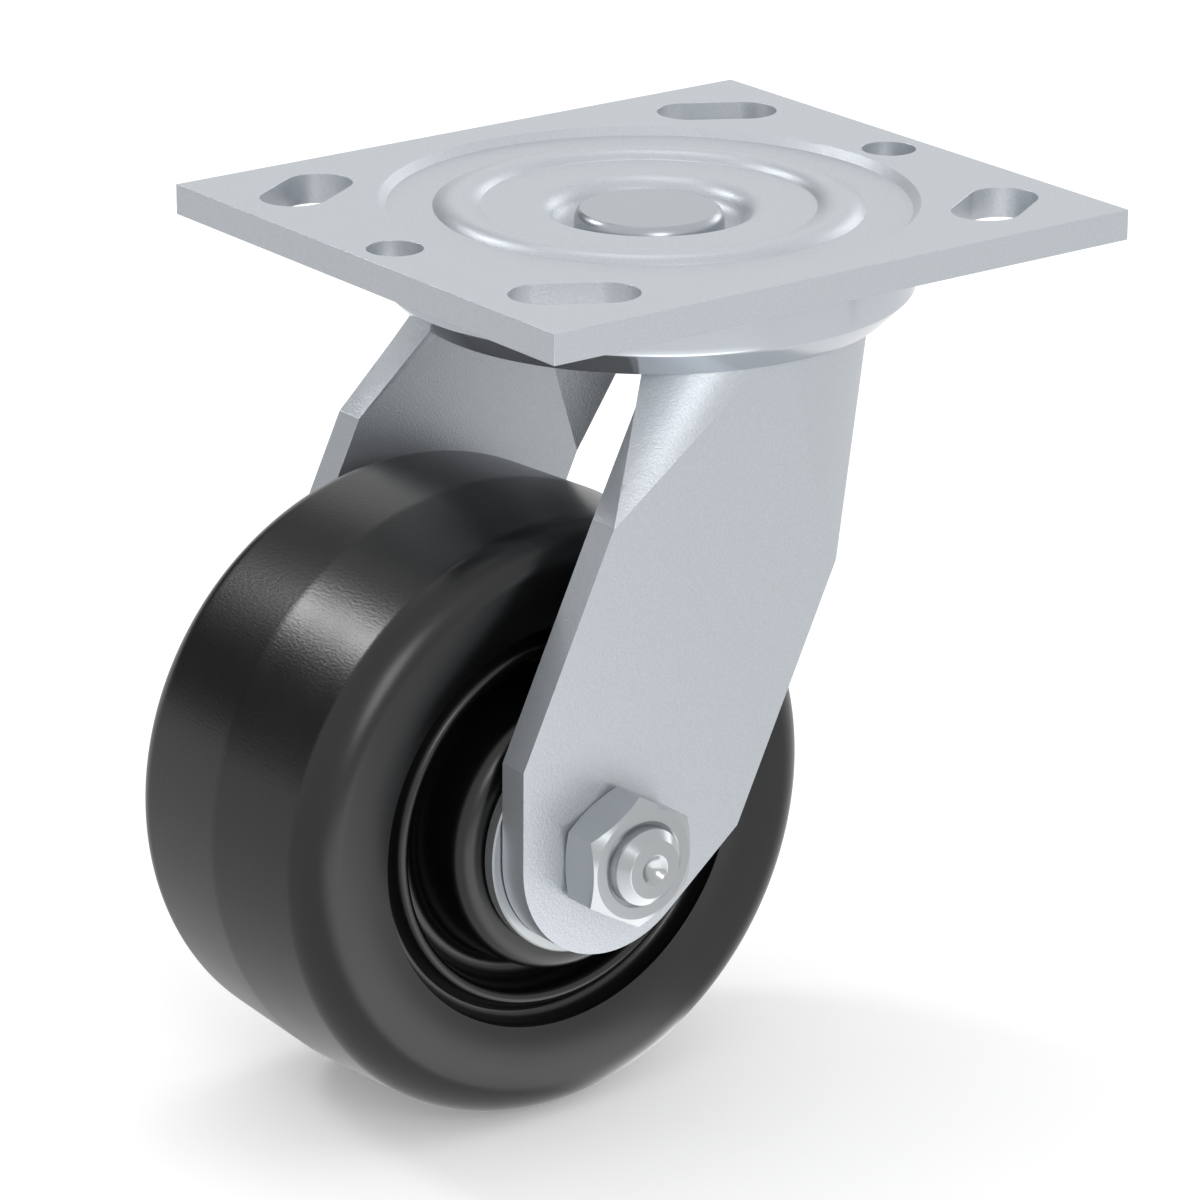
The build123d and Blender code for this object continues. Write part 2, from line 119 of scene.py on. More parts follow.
class CastorFinishSettings(bpy.types.PropertyGroup):
    """Colours and surface values of the castor's finishes."""

    zinc_colour: FloatVectorProperty(
        name="Zinc", description="Zinc plating on the plate and the legs",
        subtype="COLOR", size=3, min=0, max=1, default=(0.515, 0.545, 0.58))
    zinc_roughness: FloatProperty(
        name="Zinc roughness", description="How dull the plated sheet is", min=0, max=1, default=0.42)
    turned_colour: FloatVectorProperty(
        name="Turned steel", description="Smooth plating on the turned ring and the kingpin",
        subtype="COLOR", size=3, min=0, max=1, default=(0.53, 0.56, 0.60))
    fastener_colour: FloatVectorProperty(
        name="Fasteners", description="Bright plating on the bolt, nut and washers",
        subtype="COLOR", size=3, min=0, max=1, default=(0.40, 0.42, 0.43))
    moulding_colour: FloatVectorProperty(
        name="Black moulding", description="The wheel's own colour, under its gloss",
        subtype="COLOR", size=3, min=0, max=1, default=(0.0018, 0.0019, 0.0021))
    moulding_roughness: FloatProperty(
        name="Moulding roughness", description="How dull the wheel is", min=0, max=1, default=0.29)


class CastorShapeSettings(bpy.types.PropertyGroup):
    """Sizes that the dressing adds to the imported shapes."""

    edge_radius: FloatProperty(
        name="Sheet edge", description="Rounding of the sheared edges", unit="LENGTH", default=0.15 * MM)
    fastener_edge: FloatProperty(
        name="Fastener edge", description="Rounding of the fasteners' edges", unit="LENGTH",
        default=0.12 * MM)
    round_steps: IntProperty(
        name="Steps round", description="Steps round a turned piece", min=48, max=720, default=360)


class CastorStageSettings(bpy.types.PropertyGroup):
    """The camera, which stands where the photograph was taken from, and the lights."""

    camera_place: FloatVectorProperty(
        name="Camera", description="Where the camera stands", unit="LENGTH", size=3,
        default=(-0.5332, -0.6840, 0.2440))
    camera_heading: FloatProperty(
        name="Heading", description="Heading of the view from +X", subtype="ANGLE",
        default=math.radians(52.557))
    camera_dip: FloatProperty(
        name="Dip", description="How far the view looks down", subtype="ANGLE",
        default=math.radians(19.829))
    camera_roll: FloatProperty(
        name="Roll", description="Roll of the view", subtype="ANGLE", default=math.radians(-0.393))
    camera_lens: FloatProperty(
        name="Lens", description="Focal length for a 36 mm sensor", default=168.31)
    surround: FloatProperty(
        name="Surround", description="How strongly the white surround lights the castor", default=0.8)
    floor_glow: FloatProperty(
        name="Floor glow", description="White that the camera sees over the floor's own", default=0.2)
    show_cards: BoolProperty(
        name="Cards", description="Set up the dark cards that the bright metal reflects", default=True)
    show_floor: BoolProperty(
        name="Floor", description="Show the pale floor", default=True)


def link(thing):
    """Put a new object into the scene and return it."""
    bpy.context.scene.collection.objects.link(thing)
    return thing


def new_mesh(name, points, faces, material):
    """A smooth-shaded mesh object from a point array and a face array."""
    mesh = bpy.data.meshes.new(name)
    mesh.from_pydata(np.asarray(points, float).reshape(-1, 3).tolist(), [], [list(face) for face in faces])
    mesh.polygons.foreach_set("use_smooth", np.ones(len(mesh.polygons), bool))
    mesh.materials.append(material)
    mesh.update()
    return link(bpy.data.objects.new(name, mesh))


class Graph:
    """A node tree with short calls for adding and joining nodes."""

    def __init__(self, tree):
        self.tree = tree

    def add(self, kind, **values):
        """A new node, with the given settings."""
        node = self.tree.nodes.new(kind)
        for key, value in values.items():
            setattr(node, key, value)
        return node

    def join(self, source, target):
        self.tree.links.new(source, target)

    def fill(self, socket, value):
        """Feed a socket from another one, or set it to a plain value."""
        if isinstance(value, bpy.types.NodeSocket):
            self.join(value, socket)
        else:
            socket.default_value = value

    def math(self, kind, first, second):
        """A sum, product or the like of two values."""
        node = self.add("ShaderNodeMath", operation=kind)
        self.fill(node.inputs[0], first)
        self.fill(node.inputs[1], second)
        return node.outputs[0]

    def vector(self, kind, first, second=None):
        """A sum, product or the like of two vectors, or one vector's length."""
        node = self.add("ShaderNodeVectorMath", operation=kind)
        self.fill(node.inputs[0], first)
        if second is not None:
            self.fill(node.inputs[1], second)
        return node.outputs["Value" if kind in ("DOT_PRODUCT", "LENGTH") else "Vector"]

    def spread(self, source, low, high, low_in=0.0, high_in=1.0):
        """Map a value from one range onto another."""
        node = self.add("ShaderNodeMapRange")
        node.inputs["From Min"].default_value = low_in
        node.inputs["From Max"].default_value = high_in
        node.inputs["To Min"].default_value = low
        node.inputs["To Max"].default_value = high
        self.join(source, node.inputs["Value"])
        return node.outputs["Result"]

    def toward(self, place, azimuth, wide, narrow):
        """1 within narrow degrees of an azimuth from the middle and 0 outside wide degrees of it."""
        way = self.vector("NORMALIZE", self.vector("MULTIPLY", place, (1, 1, 0)))
        turn = math.radians(azimuth)
        match = self.vector("DOT_PRODUCT", way, (math.cos(turn), math.sin(turn), 0))
        return self.spread(match, 0.0, 1.0, math.cos(math.radians(wide)), math.cos(math.radians(narrow)))

    def mix_shaders(self, factor, first, second, output):
        """Join two shaders by a factor into an output."""
        mix = self.add("ShaderNodeMixShader")
        self.join(factor, mix.inputs["Fac"])
        self.join(first, mix.inputs[1])
        self.join(second, mix.inputs[2])
        self.join(mix.outputs[0], output)


class Surface(Graph):
    """A new material's node tree."""

    def __init__(self, name):
        self.material = bpy.data.materials.new(name)
        self.material.use_nodes = True
        super().__init__(self.material.node_tree)
        self.shader = self.tree.nodes["Principled BSDF"]
        self.output = self.tree.nodes["Material Output"].inputs["Surface"]
        self.objects = self.add("ShaderNodeTexCoord").outputs["Object"]

    def set(self, **values):
        """Set the shader's own inputs, with _ for each space in a name."""
        for key, value in values.items():
            self.shader.inputs[key.replace("_", " ")].default_value = value

    def noise(self, scale, detail, roughness, vector=None):
        """Noise with scale features to the unit, read at a vector or at the object's own coordinates."""
        node = self.add("ShaderNodeTexNoise")
        node.inputs["Scale"].default_value = scale
        node.inputs["Detail"].default_value = detail
        node.inputs["Roughness"].default_value = roughness
        self.join(vector or self.objects, node.inputs["Vector"])
        return node.outputs["Fac"]

    def tint(self, source, dark, light):
        """Colour the surface between two colours by a value."""
        node = self.add("ShaderNodeMix", data_type="RGBA")
        node.inputs["A"].default_value = (*dark, 1)
        node.inputs["B"].default_value = (*light, 1)
        self.join(source, node.inputs["Factor"])
        self.join(node.outputs["Result"], self.shader.inputs["Base Color"])

    def dull(self, source, low, high):
        """Vary the roughness between two values."""
        self.join(self.spread(source, low, high), self.shader.inputs["Roughness"])

    def bump(self, height, distance, under=None):
        """Raise the surface by a height value times a distance in metres."""
        node = self.add("ShaderNodeBump")
        node.inputs["Distance"].default_value = distance
        self.join(height, node.inputs["Height"])
        if under:
            self.join(under, node.inputs["Normal"])
        self.fill(self.shader.inputs["Normal"], node.outputs["Normal"])
        return node.outputs["Normal"]


def shaded(colour, share):
    """A colour times a share."""
    return [part * share for part in colour]


def zinc_material(name, colour, roughness, bead=None):
    """Plated sheet: an even grey whose fine crystals tilt a little, so that they sparkle near a light.

    A bead, given as its middle radius, half width and height, raises the surface by height * (1 - x * x)
    with x the distance from the middle radius over the half width, about the Z axis.
    """
    n = Surface(name)
    n.set(Metallic=0.7)
    speckle = n.spread(n.noise(SPECKLES, 1.0, 0.5), 0.0, 1.0, -0.3, 1.3)
    n.tint(speckle, shaded(colour, 1 - SPECKLE_SHARE), shaded(colour, 1 + SPECKLE_SHARE))
    n.dull(n.noise(DULL_PATCHES, 3.0, 0.55), roughness - 0.02, roughness + 0.02)
    normal = n.bump(n.noise(CRYSTALS, 2.0, 0.6), CRYSTAL_HEIGHT)
    if bead:
        middle, half, height = bead
        radius = n.vector("LENGTH", n.vector("MULTIPLY", n.objects, (1, 1, 0)))
        across = n.math("DIVIDE", n.math("SUBTRACT", radius, middle), half)
        rise = n.math("MAXIMUM", n.math("SUBTRACT", 1.0, n.math("MULTIPLY", across, across)), 0.0)
        n.bump(rise, height, under=normal)
    return n.material


def turned_material(name, colour, roughness):
    """Smooth bright plating, a little cloudy."""
    n = Surface(name)
    n.set(Metallic=0.8)
    cloud = n.noise(CLOUDS, 3.0, 0.5)
    n.tint(cloud, shaded(colour, 0.97), colour)
    n.dull(cloud, roughness * 0.85, roughness * 1.15)
    return n.material


def moulding_material(name, colour, roughness):
    """Black moulded wheel: a soft gloss over a smooth skin, with a fine ripple on the tread alone.

    The ripple is noise read at the arc round the axle and the way along it, each over its own spacing.
    """
    n = Surface(name)
    n.set(Specular_IOR_Level=0.5)
    cloud = n.noise(MOULDING_CLOUDS, 3.0, 0.5)
    n.tint(cloud, colour, shaded(colour, 1.3))
    n.dull(cloud, roughness * 0.9, roughness * 1.1)
    away = n.vector("SUBTRACT", n.objects, AXLE)
    split = n.add("ShaderNodeSeparateXYZ")
    n.join(away, split.inputs[0])
    x, y, z = split.outputs
    place = n.add("ShaderNodeCombineXYZ")
    n.join(n.math("MULTIPLY", n.math("ARCTAN2", z, x), WHEEL_RADIUS / RIPPLE_ROUND), place.inputs[0])
    n.join(n.math("DIVIDE", y, RIPPLE_ALONG), place.inputs[1])
    ripple = n.noise(1.0, 0.0, 0.4, place.outputs[0])
    radius = n.vector("LENGTH", n.vector("MULTIPLY", away, (1, 0, 1)))
    tread = n.spread(radius, 0.0, 1.0, RIPPLE_START, RIPPLE_FULL)
    n.bump(n.math("MULTIPLY", ripple, tread), RIPPLE_HEIGHT)
    return n.material


MATERIALS = {}


def materials():
    """Every finish of the castor, made once."""
    finish = bpy.context.scene.castor_finish
    zinc, turned_steel = finish.zinc_colour, finish.turned_colour
    if not MATERIALS:
        MATERIALS.update({
            "zinc_sheet": zinc_material("plated_sheet", zinc, finish.zinc_roughness),
            "zinc_plate": zinc_material("plated_pressing", zinc, finish.zinc_roughness, PLATE_BEAD),
            "turned_steel": turned_material("plated_turning", turned_steel, roughness=0.14),
            "pin_head": turned_material("plated_head", shaded(turned_steel, 0.76), roughness=0.3),
            "bright_zinc": turned_material("bright_plating", finish.fastener_colour, roughness=0.22),
            "bearing_steel": turned_material("polished_steel", turned_steel, roughness=0.08),
            "cage_steel": turned_material("satin_steel", turned_steel, roughness=0.35),
            "black_moulding": moulding_material(
                "black_plastic", finish.moulding_colour, finish.moulding_roughness),
        })
    return MATERIALS


def smooth_tree(crease):
    """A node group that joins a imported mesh's loose triangles and smooths all but its real edges."""
    name = f"joined_smooth_below_{crease}"
    if name in bpy.data.node_groups:
        return bpy.data.node_groups[name]
    tree = bpy.data.node_groups.new(name, "GeometryNodeTree")
    tree.interface.new_socket("Geometry", in_out="INPUT", socket_type="NodeSocketGeometry")
    tree.interface.new_socket("Geometry", in_out="OUTPUT", socket_type="NodeSocketGeometry")
    n = Graph(tree)
    start = n.add("NodeGroupInput")
    merge = n.add("GeometryNodeMergeByDistance")
    merge.inputs["Distance"].default_value = 1e-6
    faces = n.add("GeometryNodeSetShadeSmooth", domain="FACE")
    edges = n.add("GeometryNodeSetShadeSmooth", domain="EDGE")
    edges.inputs["Shade Smooth"].default_value = False
    angle = n.add("GeometryNodeInputMeshEdgeAngle")
    sharp = n.add("FunctionNodeCompare", data_type="FLOAT", operation="GREATER_THAN")
    sharp.inputs["B"].default_value = math.radians(crease)
    n.join(start.outputs[0], merge.inputs["Geometry"])
    n.join(merge.outputs["Geometry"], faces.inputs["Geometry"])
    n.join(faces.outputs["Geometry"], edges.inputs["Geometry"])
    n.join(angle.outputs["Unsigned Angle"], sharp.inputs["A"])
    n.join(sharp.outputs["Result"], edges.inputs["Selection"])
    n.join(edges.outputs["Geometry"], n.add("NodeGroupOutput").inputs[0])
    return tree


def dress(node, material, edge=0.0, crease=24, corner=24):
    """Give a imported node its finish, smooth shading and, if edge is set, lightly rounded edges.

    Edges turned by more than crease degrees stay crisp, and those turned by more than corner are rounded.
    """
    piece = frame["nodes"][node]
    if not piece.material_slots:
        piece.data.materials.append(None)
    for holder in piece.material_slots:
        holder.material = material
    join = piece.modifiers.new("Joined", "NODES")
    join.node_group = smooth_tree(crease)
    if edge:
        flatten = piece.modifiers.new("Flat faces", "DECIMATE")
        flatten.decimate_type = "DISSOLVE"
        flatten.angle_limit = math.radians(0.4)
        round_off = piece.modifiers.new("Edges", "BEVEL")
        round_off.width = edge
        round_off.segments = 2
        round_off.limit_method = "ANGLE"
        round_off.angle_limit = math.radians(corner)
        weigh = piece.modifiers.new("Even shading", "WEIGHTED_NORMAL")
        weigh.keep_sharp = True


def arc(middle, radius, start, end, steps):
    """Points on a circle about middle, from one angle to the other in degrees."""
    turn = np.radians(np.linspace(start, end, steps))
    return np.stack([middle[0] + radius * np.cos(turn), middle[1] + radius * np.sin(turn)], axis=1)


def bend(start, end, start_way, end_way, steps):
    """A cubic curve from start to end that leaves and arrives in the given directions.

    With t from 0 to 1 it is the sum of the four Hermite weights times the ends and their tangents.
    """
    t = np.linspace(0, 1, steps)[:, None]
    span = np.linalg.norm(np.subtract(end, start))
    leave = np.array(start_way, float) / np.linalg.norm(start_way) * span
    arrive = np.array(end_way, float) / np.linalg.norm(end_way) * span
    first = (2 * t**3 - 3 * t**2 + 1) * np.array(start, float)
    last = (3 * t**2 - 2 * t**3) * np.array(end, float)
    return first + last + (t**3 - 2 * t**2 + t) * leave + (t**3 - t**2) * arrive


def line(*corners, steps=6):
    """Straight runs between corners, each divided evenly."""
    runs = [np.linspace(a, b, steps, endpoint=False) for a, b in zip(corners, corners[1:])]
    return np.vstack([*runs, [corners[-1]]])


def profile(*runs):
    """Runs of points joined into one line, without the points that repeat."""
    points = np.vstack(runs)
    keep = np.ones(len(points), bool)
    keep[1:] = np.linalg.norm(np.diff(points, axis=0), axis=1) > 1e-6
    return points[keep]


def ring_mesh(name, rings, material, crease):
    """A closed piece from rings of points, each joined to the next and the last to the first.

    Normals face outwards, and edges turned by more than crease degrees stay crisp.
    """
    rows, steps = rings.shape[:2]
    i, j = np.meshgrid(np.arange(rows), np.arange(steps), indexing="ij")
    down, right = (i + 1) % rows, (j + 1) % steps
    faces = np.stack([i * steps + j, i * steps + right, down * steps + right, down * steps + j], axis=2)
    piece = new_mesh(name, rings, faces.reshape(-1, 4), material)
    work = bmesh.new()
    work.from_mesh(piece.data)
    bmesh.ops.remove_doubles(work, verts=work.verts, dist=1e-7)
    bmesh.ops.recalc_face_normals(work, faces=work.faces)
    work.to_mesh(piece.data)
    work.free()
    piece.data.set_sharp_from_angle(angle=math.radians(crease))
    return piece


def turned(name, section, middle, axis, steps, material):
    """A turned piece: each point (radius, height) of a closed section is carried round the axis.

    With turn a, a point about Z is (r cos a, r sin a, h), and about Y it is (r cos a, h, r sin a).
    """
    turn = np.linspace(0, 2 * math.pi, steps, endpoint=False)
    radius, height = section[:, 0:1], section[:, 1:2]
    across, along = radius * np.cos(turn), radius * np.sin(turn)
    level = np.broadcast_to(height, across.shape)
    order = (across, along, level) if axis == "Z" else (across, level, along)
    return ring_mesh(name, np.stack(order, axis=2) + np.array(middle), material, 28)


def hexagon_nut(name, middle, back, front, material):
    """A hexagon nut along Y, from its back to its front, with a flat ring and a countersink on the front.

    At turn a the side stands at R(a) = (flats / 2) / cos((a + 30) mod 60 - 30). A cone that starts at the
    ring's edge cuts the corners of both ends: at R it lies (R - ring) * tan(30) below the end.
    """
    degrees = np.arange(0, 360, 1.0)
    turn, flat = np.radians(degrees), np.zeros(len(degrees))
    side = NUT_FLATS / 2 / np.cos(np.radians(np.mod(degrees + 30, 60) - 30))
    way = math.copysign(1, front - back)
    cut = way * (side - NUT_RING) * math.tan(math.radians(NUT_CONE))
    rows = [
        (NUT_BORE + flat, back + flat),
        (NUT_RING + flat, back + flat),
        (side, back + cut),
        (side, front - cut),
        (NUT_RING + flat, front + flat),
        (NUT_BORE + NUT_COUNTERSINK + flat, front + flat),
        (NUT_BORE + flat, front - way * NUT_COUNTERSINK / 2 + flat),
    ]
    rings = [np.column_stack([r * np.cos(turn), y, r * np.sin(turn)]) + np.array(middle) for r, y in rows]
    return ring_mesh(name, np.stack(rings), material, 20)


def wheel_section():
    """The wheel's section as (radius, distance along the axle), in metres, for both sides."""
    hub_bore, boss_face, boss, shoulder = 14.585, 20.4, 23.4, 3.0
    half, hub, hub_round = 25.4, 28.5, 0.3
    groove_in, groove_out, groove_floor = 24.2, 28.2, half - 9.5
    groove_round = (groove_out - groove_in) / 2
    ledge, ledge_top = 30.0, half - 2.6
    gutter, recess, dish, recess_round = 32.6, 34.1, half - 1.3, 0.15
    gutter_floor, recess_foot = dish - 3.6, dish - 1.5
    side, tread_edge, tread_half, crown = 43.9, 49.9, 19.4, 50.8
    groove_middle = groove_floor + groove_round
    run = profile(
        line((hub_bore, 0), (hub_bore, hub - hub_round), steps=8),
        arc((hub_bore + hub_round, hub - hub_round), hub_round, 180, 90, 5),
        line((hub_bore + hub_round, hub), (boss_face, hub), steps=6),
        arc((boss_face, hub - shoulder), shoulder, 90, 0, 14),
        line((boss, hub - shoulder), (groove_in, groove_middle), steps=8),
        arc((groove_in + groove_round, groove_middle), groove_round, 180, 360, 18),
        bend((groove_out, groove_middle), (ledge, ledge_top), (0.15, 1), (1, 0), 16),
        bend((ledge, ledge_top), (gutter, gutter_floor), (1, 0), (1, 0), 14),
        bend((gutter, gutter_floor), (recess, recess_foot), (1, 0), (0, 1), 12),
        line((recess, recess_foot), (recess, dish - recess_round), steps=4),
        arc((recess + recess_round, dish - recess_round), recess_round, 180, 110, 4),
        bend((recess + recess_round, dish), (side, half), (1, 0.3), (1, 0), 24),
        bend((side, half), (tread_edge, tread_half), (1, 0), (crown - tread_edge, -tread_half), 32),
        line((tread_edge, tread_half), (crown, 0), steps=24),
    )
    back = run[::-1] * np.array([1, -1])
    return profile(run, back[1:-1]) * MM


def base_section():
    """The fork base's section as (radius, height), in metres."""
    race, groove, ball_z = 30.75, 4.8125, -8.8825
    low_race, low_groove, low_ball_z = 15.5, 2.43125, -15.625
    bore, web_top, web_under, bottom = 9.1375, -10.8, -14.4, -17.7
    top, outer, rim_round = -6.9, 43.0, 0.6
    foot, bevel = 38.6, 4.35
    soft, soft_out, soft_down = 0.25, 0.17, 0.18
    foot_in, foot_slope = 22.5, 1.0
    lip_rise = 0.3
    land, lip = race - groove - 4.0, race + groove + lip_rise
    half = math.degrees(math.acos((web_under - low_ball_z) / low_groove))
    side_end = (outer, bottom + bevel + soft)
    cone_top = (outer - soft_out, bottom + bevel - soft_down)
    cone_foot = (foot + soft_out, bottom + soft_down)
    foot_end = (foot - soft, bottom)
    run = profile(
        line((bore, web_under), (bore, web_top), (land - (ball_z - web_top) / 2, web_top), (land, ball_z),
             (race - groove, ball_z)),
        arc((race, ball_z), groove, 180, 360, 30),
        line((race + groove, ball_z), (lip, ball_z + lip_rise), (lip, top), (outer - rim_round, top)),
        arc((outer - rim_round, top - rim_round), rim_round, 90, 0, 8),
        line((outer, top - rim_round), side_end),
        bend(side_end, cone_top, (0, -1), (-1, -1), 6),
        line(cone_top, cone_foot),
        bend(cone_foot, foot_end, (-1, -1), (-1, 0), 6),
        line(foot_end, (foot_in, bottom), (foot_in - foot_slope, web_under)),
        arc((low_race, low_ball_z), low_groove, 90 - half, 90 + half, 16),
        line((low_race - low_groove * math.sin(math.radians(half)), web_under), (bore, web_under)),
    )
    return run[:-1] * MM


class CASTOR_OT_top_plate(bpy.types.Operator):
    """Dress the pressed top plate."""

    bl_idname = "castor.top_plate"
    bl_label = "Top plate"

    def execute(self, context):
        edge = context.scene.castor_shape.edge_radius
        dress("top_plate", materials()["zinc_plate"], edge, crease=11, corner=50)
        return {"FINISHED"}


class CASTOR_OT_kingpin(bpy.types.Operator):
    """Dress the kingpin and the lower race that it holds."""

    bl_idname = "castor.kingpin"
    bl_label = "Kingpin and lower race"

    def execute(self, context):
        dress("kingpin", materials()["pin_head"], context.scene.castor_shape.fastener_edge)
        dress("lower_race", materials()["bearing_steel"])
        return {"FINISHED"}


class CASTOR_OT_balls(bpy.types.Operator):
    """Dress both rows of balls."""

    bl_idname = "castor.balls"
    bl_label = "Balls"

    def execute(self, context):
        for node in frame["record"]["behaviour"]["bodies"]["balls"]:
            dress(node, materials()["bearing_steel"])
        return {"FINISHED"}


class CASTOR_OT_fork(bpy.types.Operator):
    """Turn the fork base and dress the legs under it."""

    bl_idname = "castor.fork"
    bl_label = "Fork"

    def execute(self, context):
        shape = context.scene.castor_shape
        steel = materials()["turned_steel"]
        ring = turned("fork_base_ring", base_section(), (0, 0, 0), "Z", shape.round_steps, steel)
        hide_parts("fork_base")
        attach(ring, "fork")
        for node in ("nut_side_leg", "head_side_leg"):
            dress(node, materials()["zinc_sheet"], shape.edge_radius, crease=9, corner=62)
        return {"FINISHED"}


class CASTOR_OT_wheel(bpy.types.Operator):
    """Turn the moulded wheel."""

    bl_idname = "castor.wheel"
    bl_label = "Wheel"

    def execute(self, context):
        steps = context.scene.castor_shape.round_steps
        black = materials()["black_moulding"]
        moulding = turned("wheel_moulding", wheel_section(), AXLE, "Y", steps, black)
        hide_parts("wheel")
        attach(moulding, "wheel")
        return {"FINISHED"}


class CASTOR_OT_axle(bpy.types.Operator):
    """Dress the axle bolt, the bushing and the thrust washers, and make the nut."""

    bl_idname = "castor.axle"
    bl_label = "Axle"

    def execute(self, context):
        bright = materials()["bright_zinc"]
        dress("axle_bolt", bright, context.scene.castor_shape.fastener_edge)
        nut = hexagon_nut("hexagon_nut", (AXLE.x, 0, AXLE.z), NUT_HIGH.y, NUT_LOW.y, bright)
        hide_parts("axle_nut")
        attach(nut, "fork")
        for node in ("spanner_bushing", "nut_side_thrust_washer", "head_side_thrust_washer"):
            dress(node, bright)
        return {"FINISHED"}


class CASTOR_OT_rollers(bpy.types.Operator):
    """Dress the rollers and their cage."""

    bl_idname = "castor.rollers"
    bl_label = "Rollers and cage"

    def execute(self, context):
        for node in frame["record"]["behaviour"]["bodies"]["rollers"]:
            dress(node, materials()["cage_steel" if node == "roller_cage" else "bearing_steel"])
        return {"FINISHED"}


def around(azimuth, rise, distance):
    """A place at an azimuth from +X and a rise above the level, in degrees, about the studio's middle."""
    turn, lift = math.radians(azimuth), math.radians(rise)
    way = Vector((math.cos(lift) * math.cos(turn), math.cos(lift) * math.sin(turn), math.sin(lift)))
    return STUDIO_MIDDLE + distance * way


def area_light(name, azimuth, rise, distance, width, height, power):
    """A soft rectangular light that faces the castor."""
    lamp = bpy.data.lights.new(name, "AREA")
    lamp.shape = "RECTANGLE"
    lamp.size, lamp.size_y = width, height
    lamp.energy = power
    light = link(bpy.data.objects.new(name, lamp))
    light.location = around(azimuth, rise, distance)
    light.rotation_mode = "QUATERNION"
    light.rotation_quaternion = (STUDIO_MIDDLE - light.location).to_track_quat("-Z", "Y")


def card(name, azimuth, spread, low, high, distance, shade):
    """A curved upright card that only reflections see, from one height to another above the floor."""
    turn = np.radians(np.linspace(azimuth - spread, azimuth + spread, CARD_COLUMNS))
    x, y = STUDIO_MIDDLE.x + distance * np.cos(turn), STUDIO_MIDDLE.y + distance * np.sin(turn)
    floor = CAD_BOX[0][2]
    rows = [np.column_stack([x, y, np.full(CARD_COLUMNS, floor + height)]) for height in (low, high)]
    faces = [(i, i + 1, i + 1 + CARD_COLUMNS, i + CARD_COLUMNS) for i in range(CARD_COLUMNS - 1)]
    n = Surface(name)
    glow = n.add("ShaderNodeEmission")
    glow.inputs["Strength"].default_value = shade
    n.join(glow.outputs[0], n.output)
    sheet = new_mesh(name, np.vstack(rows), faces, n.material)
    sheet.visible_camera = sheet.visible_diffuse = sheet.visible_transmission = False
    sheet.visible_shadow = False


def white_world(strength):
    """A world that is white to the camera and to reflections and lights the castor at its own strength."""
    world = bpy.data.worlds.new("surround")
    world.use_nodes = True
    n = Graph(world.node_tree)
    soft = n.tree.nodes["Background"]
    soft.inputs["Color"].default_value = (1, 1, 1, 1)
    soft.inputs["Strength"].default_value = strength
    white = n.add("ShaderNodeBackground")
    white.inputs["Color"].default_value = (1, 1, 1, 1)
    white.inputs["Strength"].default_value = 1.0
    paths = n.add("ShaderNodeLightPath").outputs
    seen = n.math("MAXIMUM", paths["Is Camera Ray"], paths["Is Transmission Ray"])
    seen = n.math("MAXIMUM", seen, paths["Is Glossy Ray"])
    output = n.tree.nodes["World Output"].inputs["Surface"]
    n.mix_shaders(seen, soft.outputs[0], white.outputs[0], output)
    return world


def pale_floor(half, own_glow):
    """A pale matt floor that keeps the castor's shadow for the camera, while reflections see it white.

    Reflections see a painted glow near the middle on the front light's side, and a little painted shade
    behind.
    """
    level = CAD_BOX[0][2]
    corners = [(-half, -half, level), (half, -half, level), (half, half, level), (-half, half, level)]
    n = Surface("pale_floor")
    n.set(Base_Color=(0.95, 0.95, 0.95, 1), Emission_Color=(1, 1, 1, 1))
    n.set(Roughness=1.0, Specular_IOR_Level=0.0)
    paths = n.add("ShaderNodeLightPath").outputs
    n.join(n.math("MULTIPLY", paths["Is Camera Ray"], own_glow), n.shader.inputs["Emission Strength"])
    # Painted glow: reflections see the floor brighter near the middle on the front light's side; painted
    # shade: a little dimmer behind
    distance = n.vector("LENGTH", n.objects)
    near = n.spread(distance, 0.0, FLOOR_PAINTED_GLOW, FLOOR_PAINTED_GLOW_REACH * FLOOR_PAINTED_GLOW_FADE, FLOOR_PAINTED_GLOW_REACH)
    front_side = n.toward(n.objects, azimuth=-110, wide=32, narrow=15)
    back_side = n.toward(n.objects, azimuth=125, wide=55, narrow=35)
    front = n.math("ADD", n.math("MULTIPLY", near, front_side), 1.0)
    behind = n.math("MULTIPLY", back_side, FLOOR_PAINTED_SHADE)
    # Emission that reflections see: white plus the painted glow, less the painted shade
    white = n.add("ShaderNodeEmission")
    n.join(n.math("SUBTRACT", front, behind), white.inputs["Strength"])
    mirrored = n.math("MAXIMUM", paths["Is Glossy Ray"], paths["Is Transmission Ray"])
    n.mix_shaders(mirrored, n.shader.outputs[0], white.outputs[0], n.output)
    floor = new_mesh("floor", corners, [(0, 1, 2, 3)], n.material)


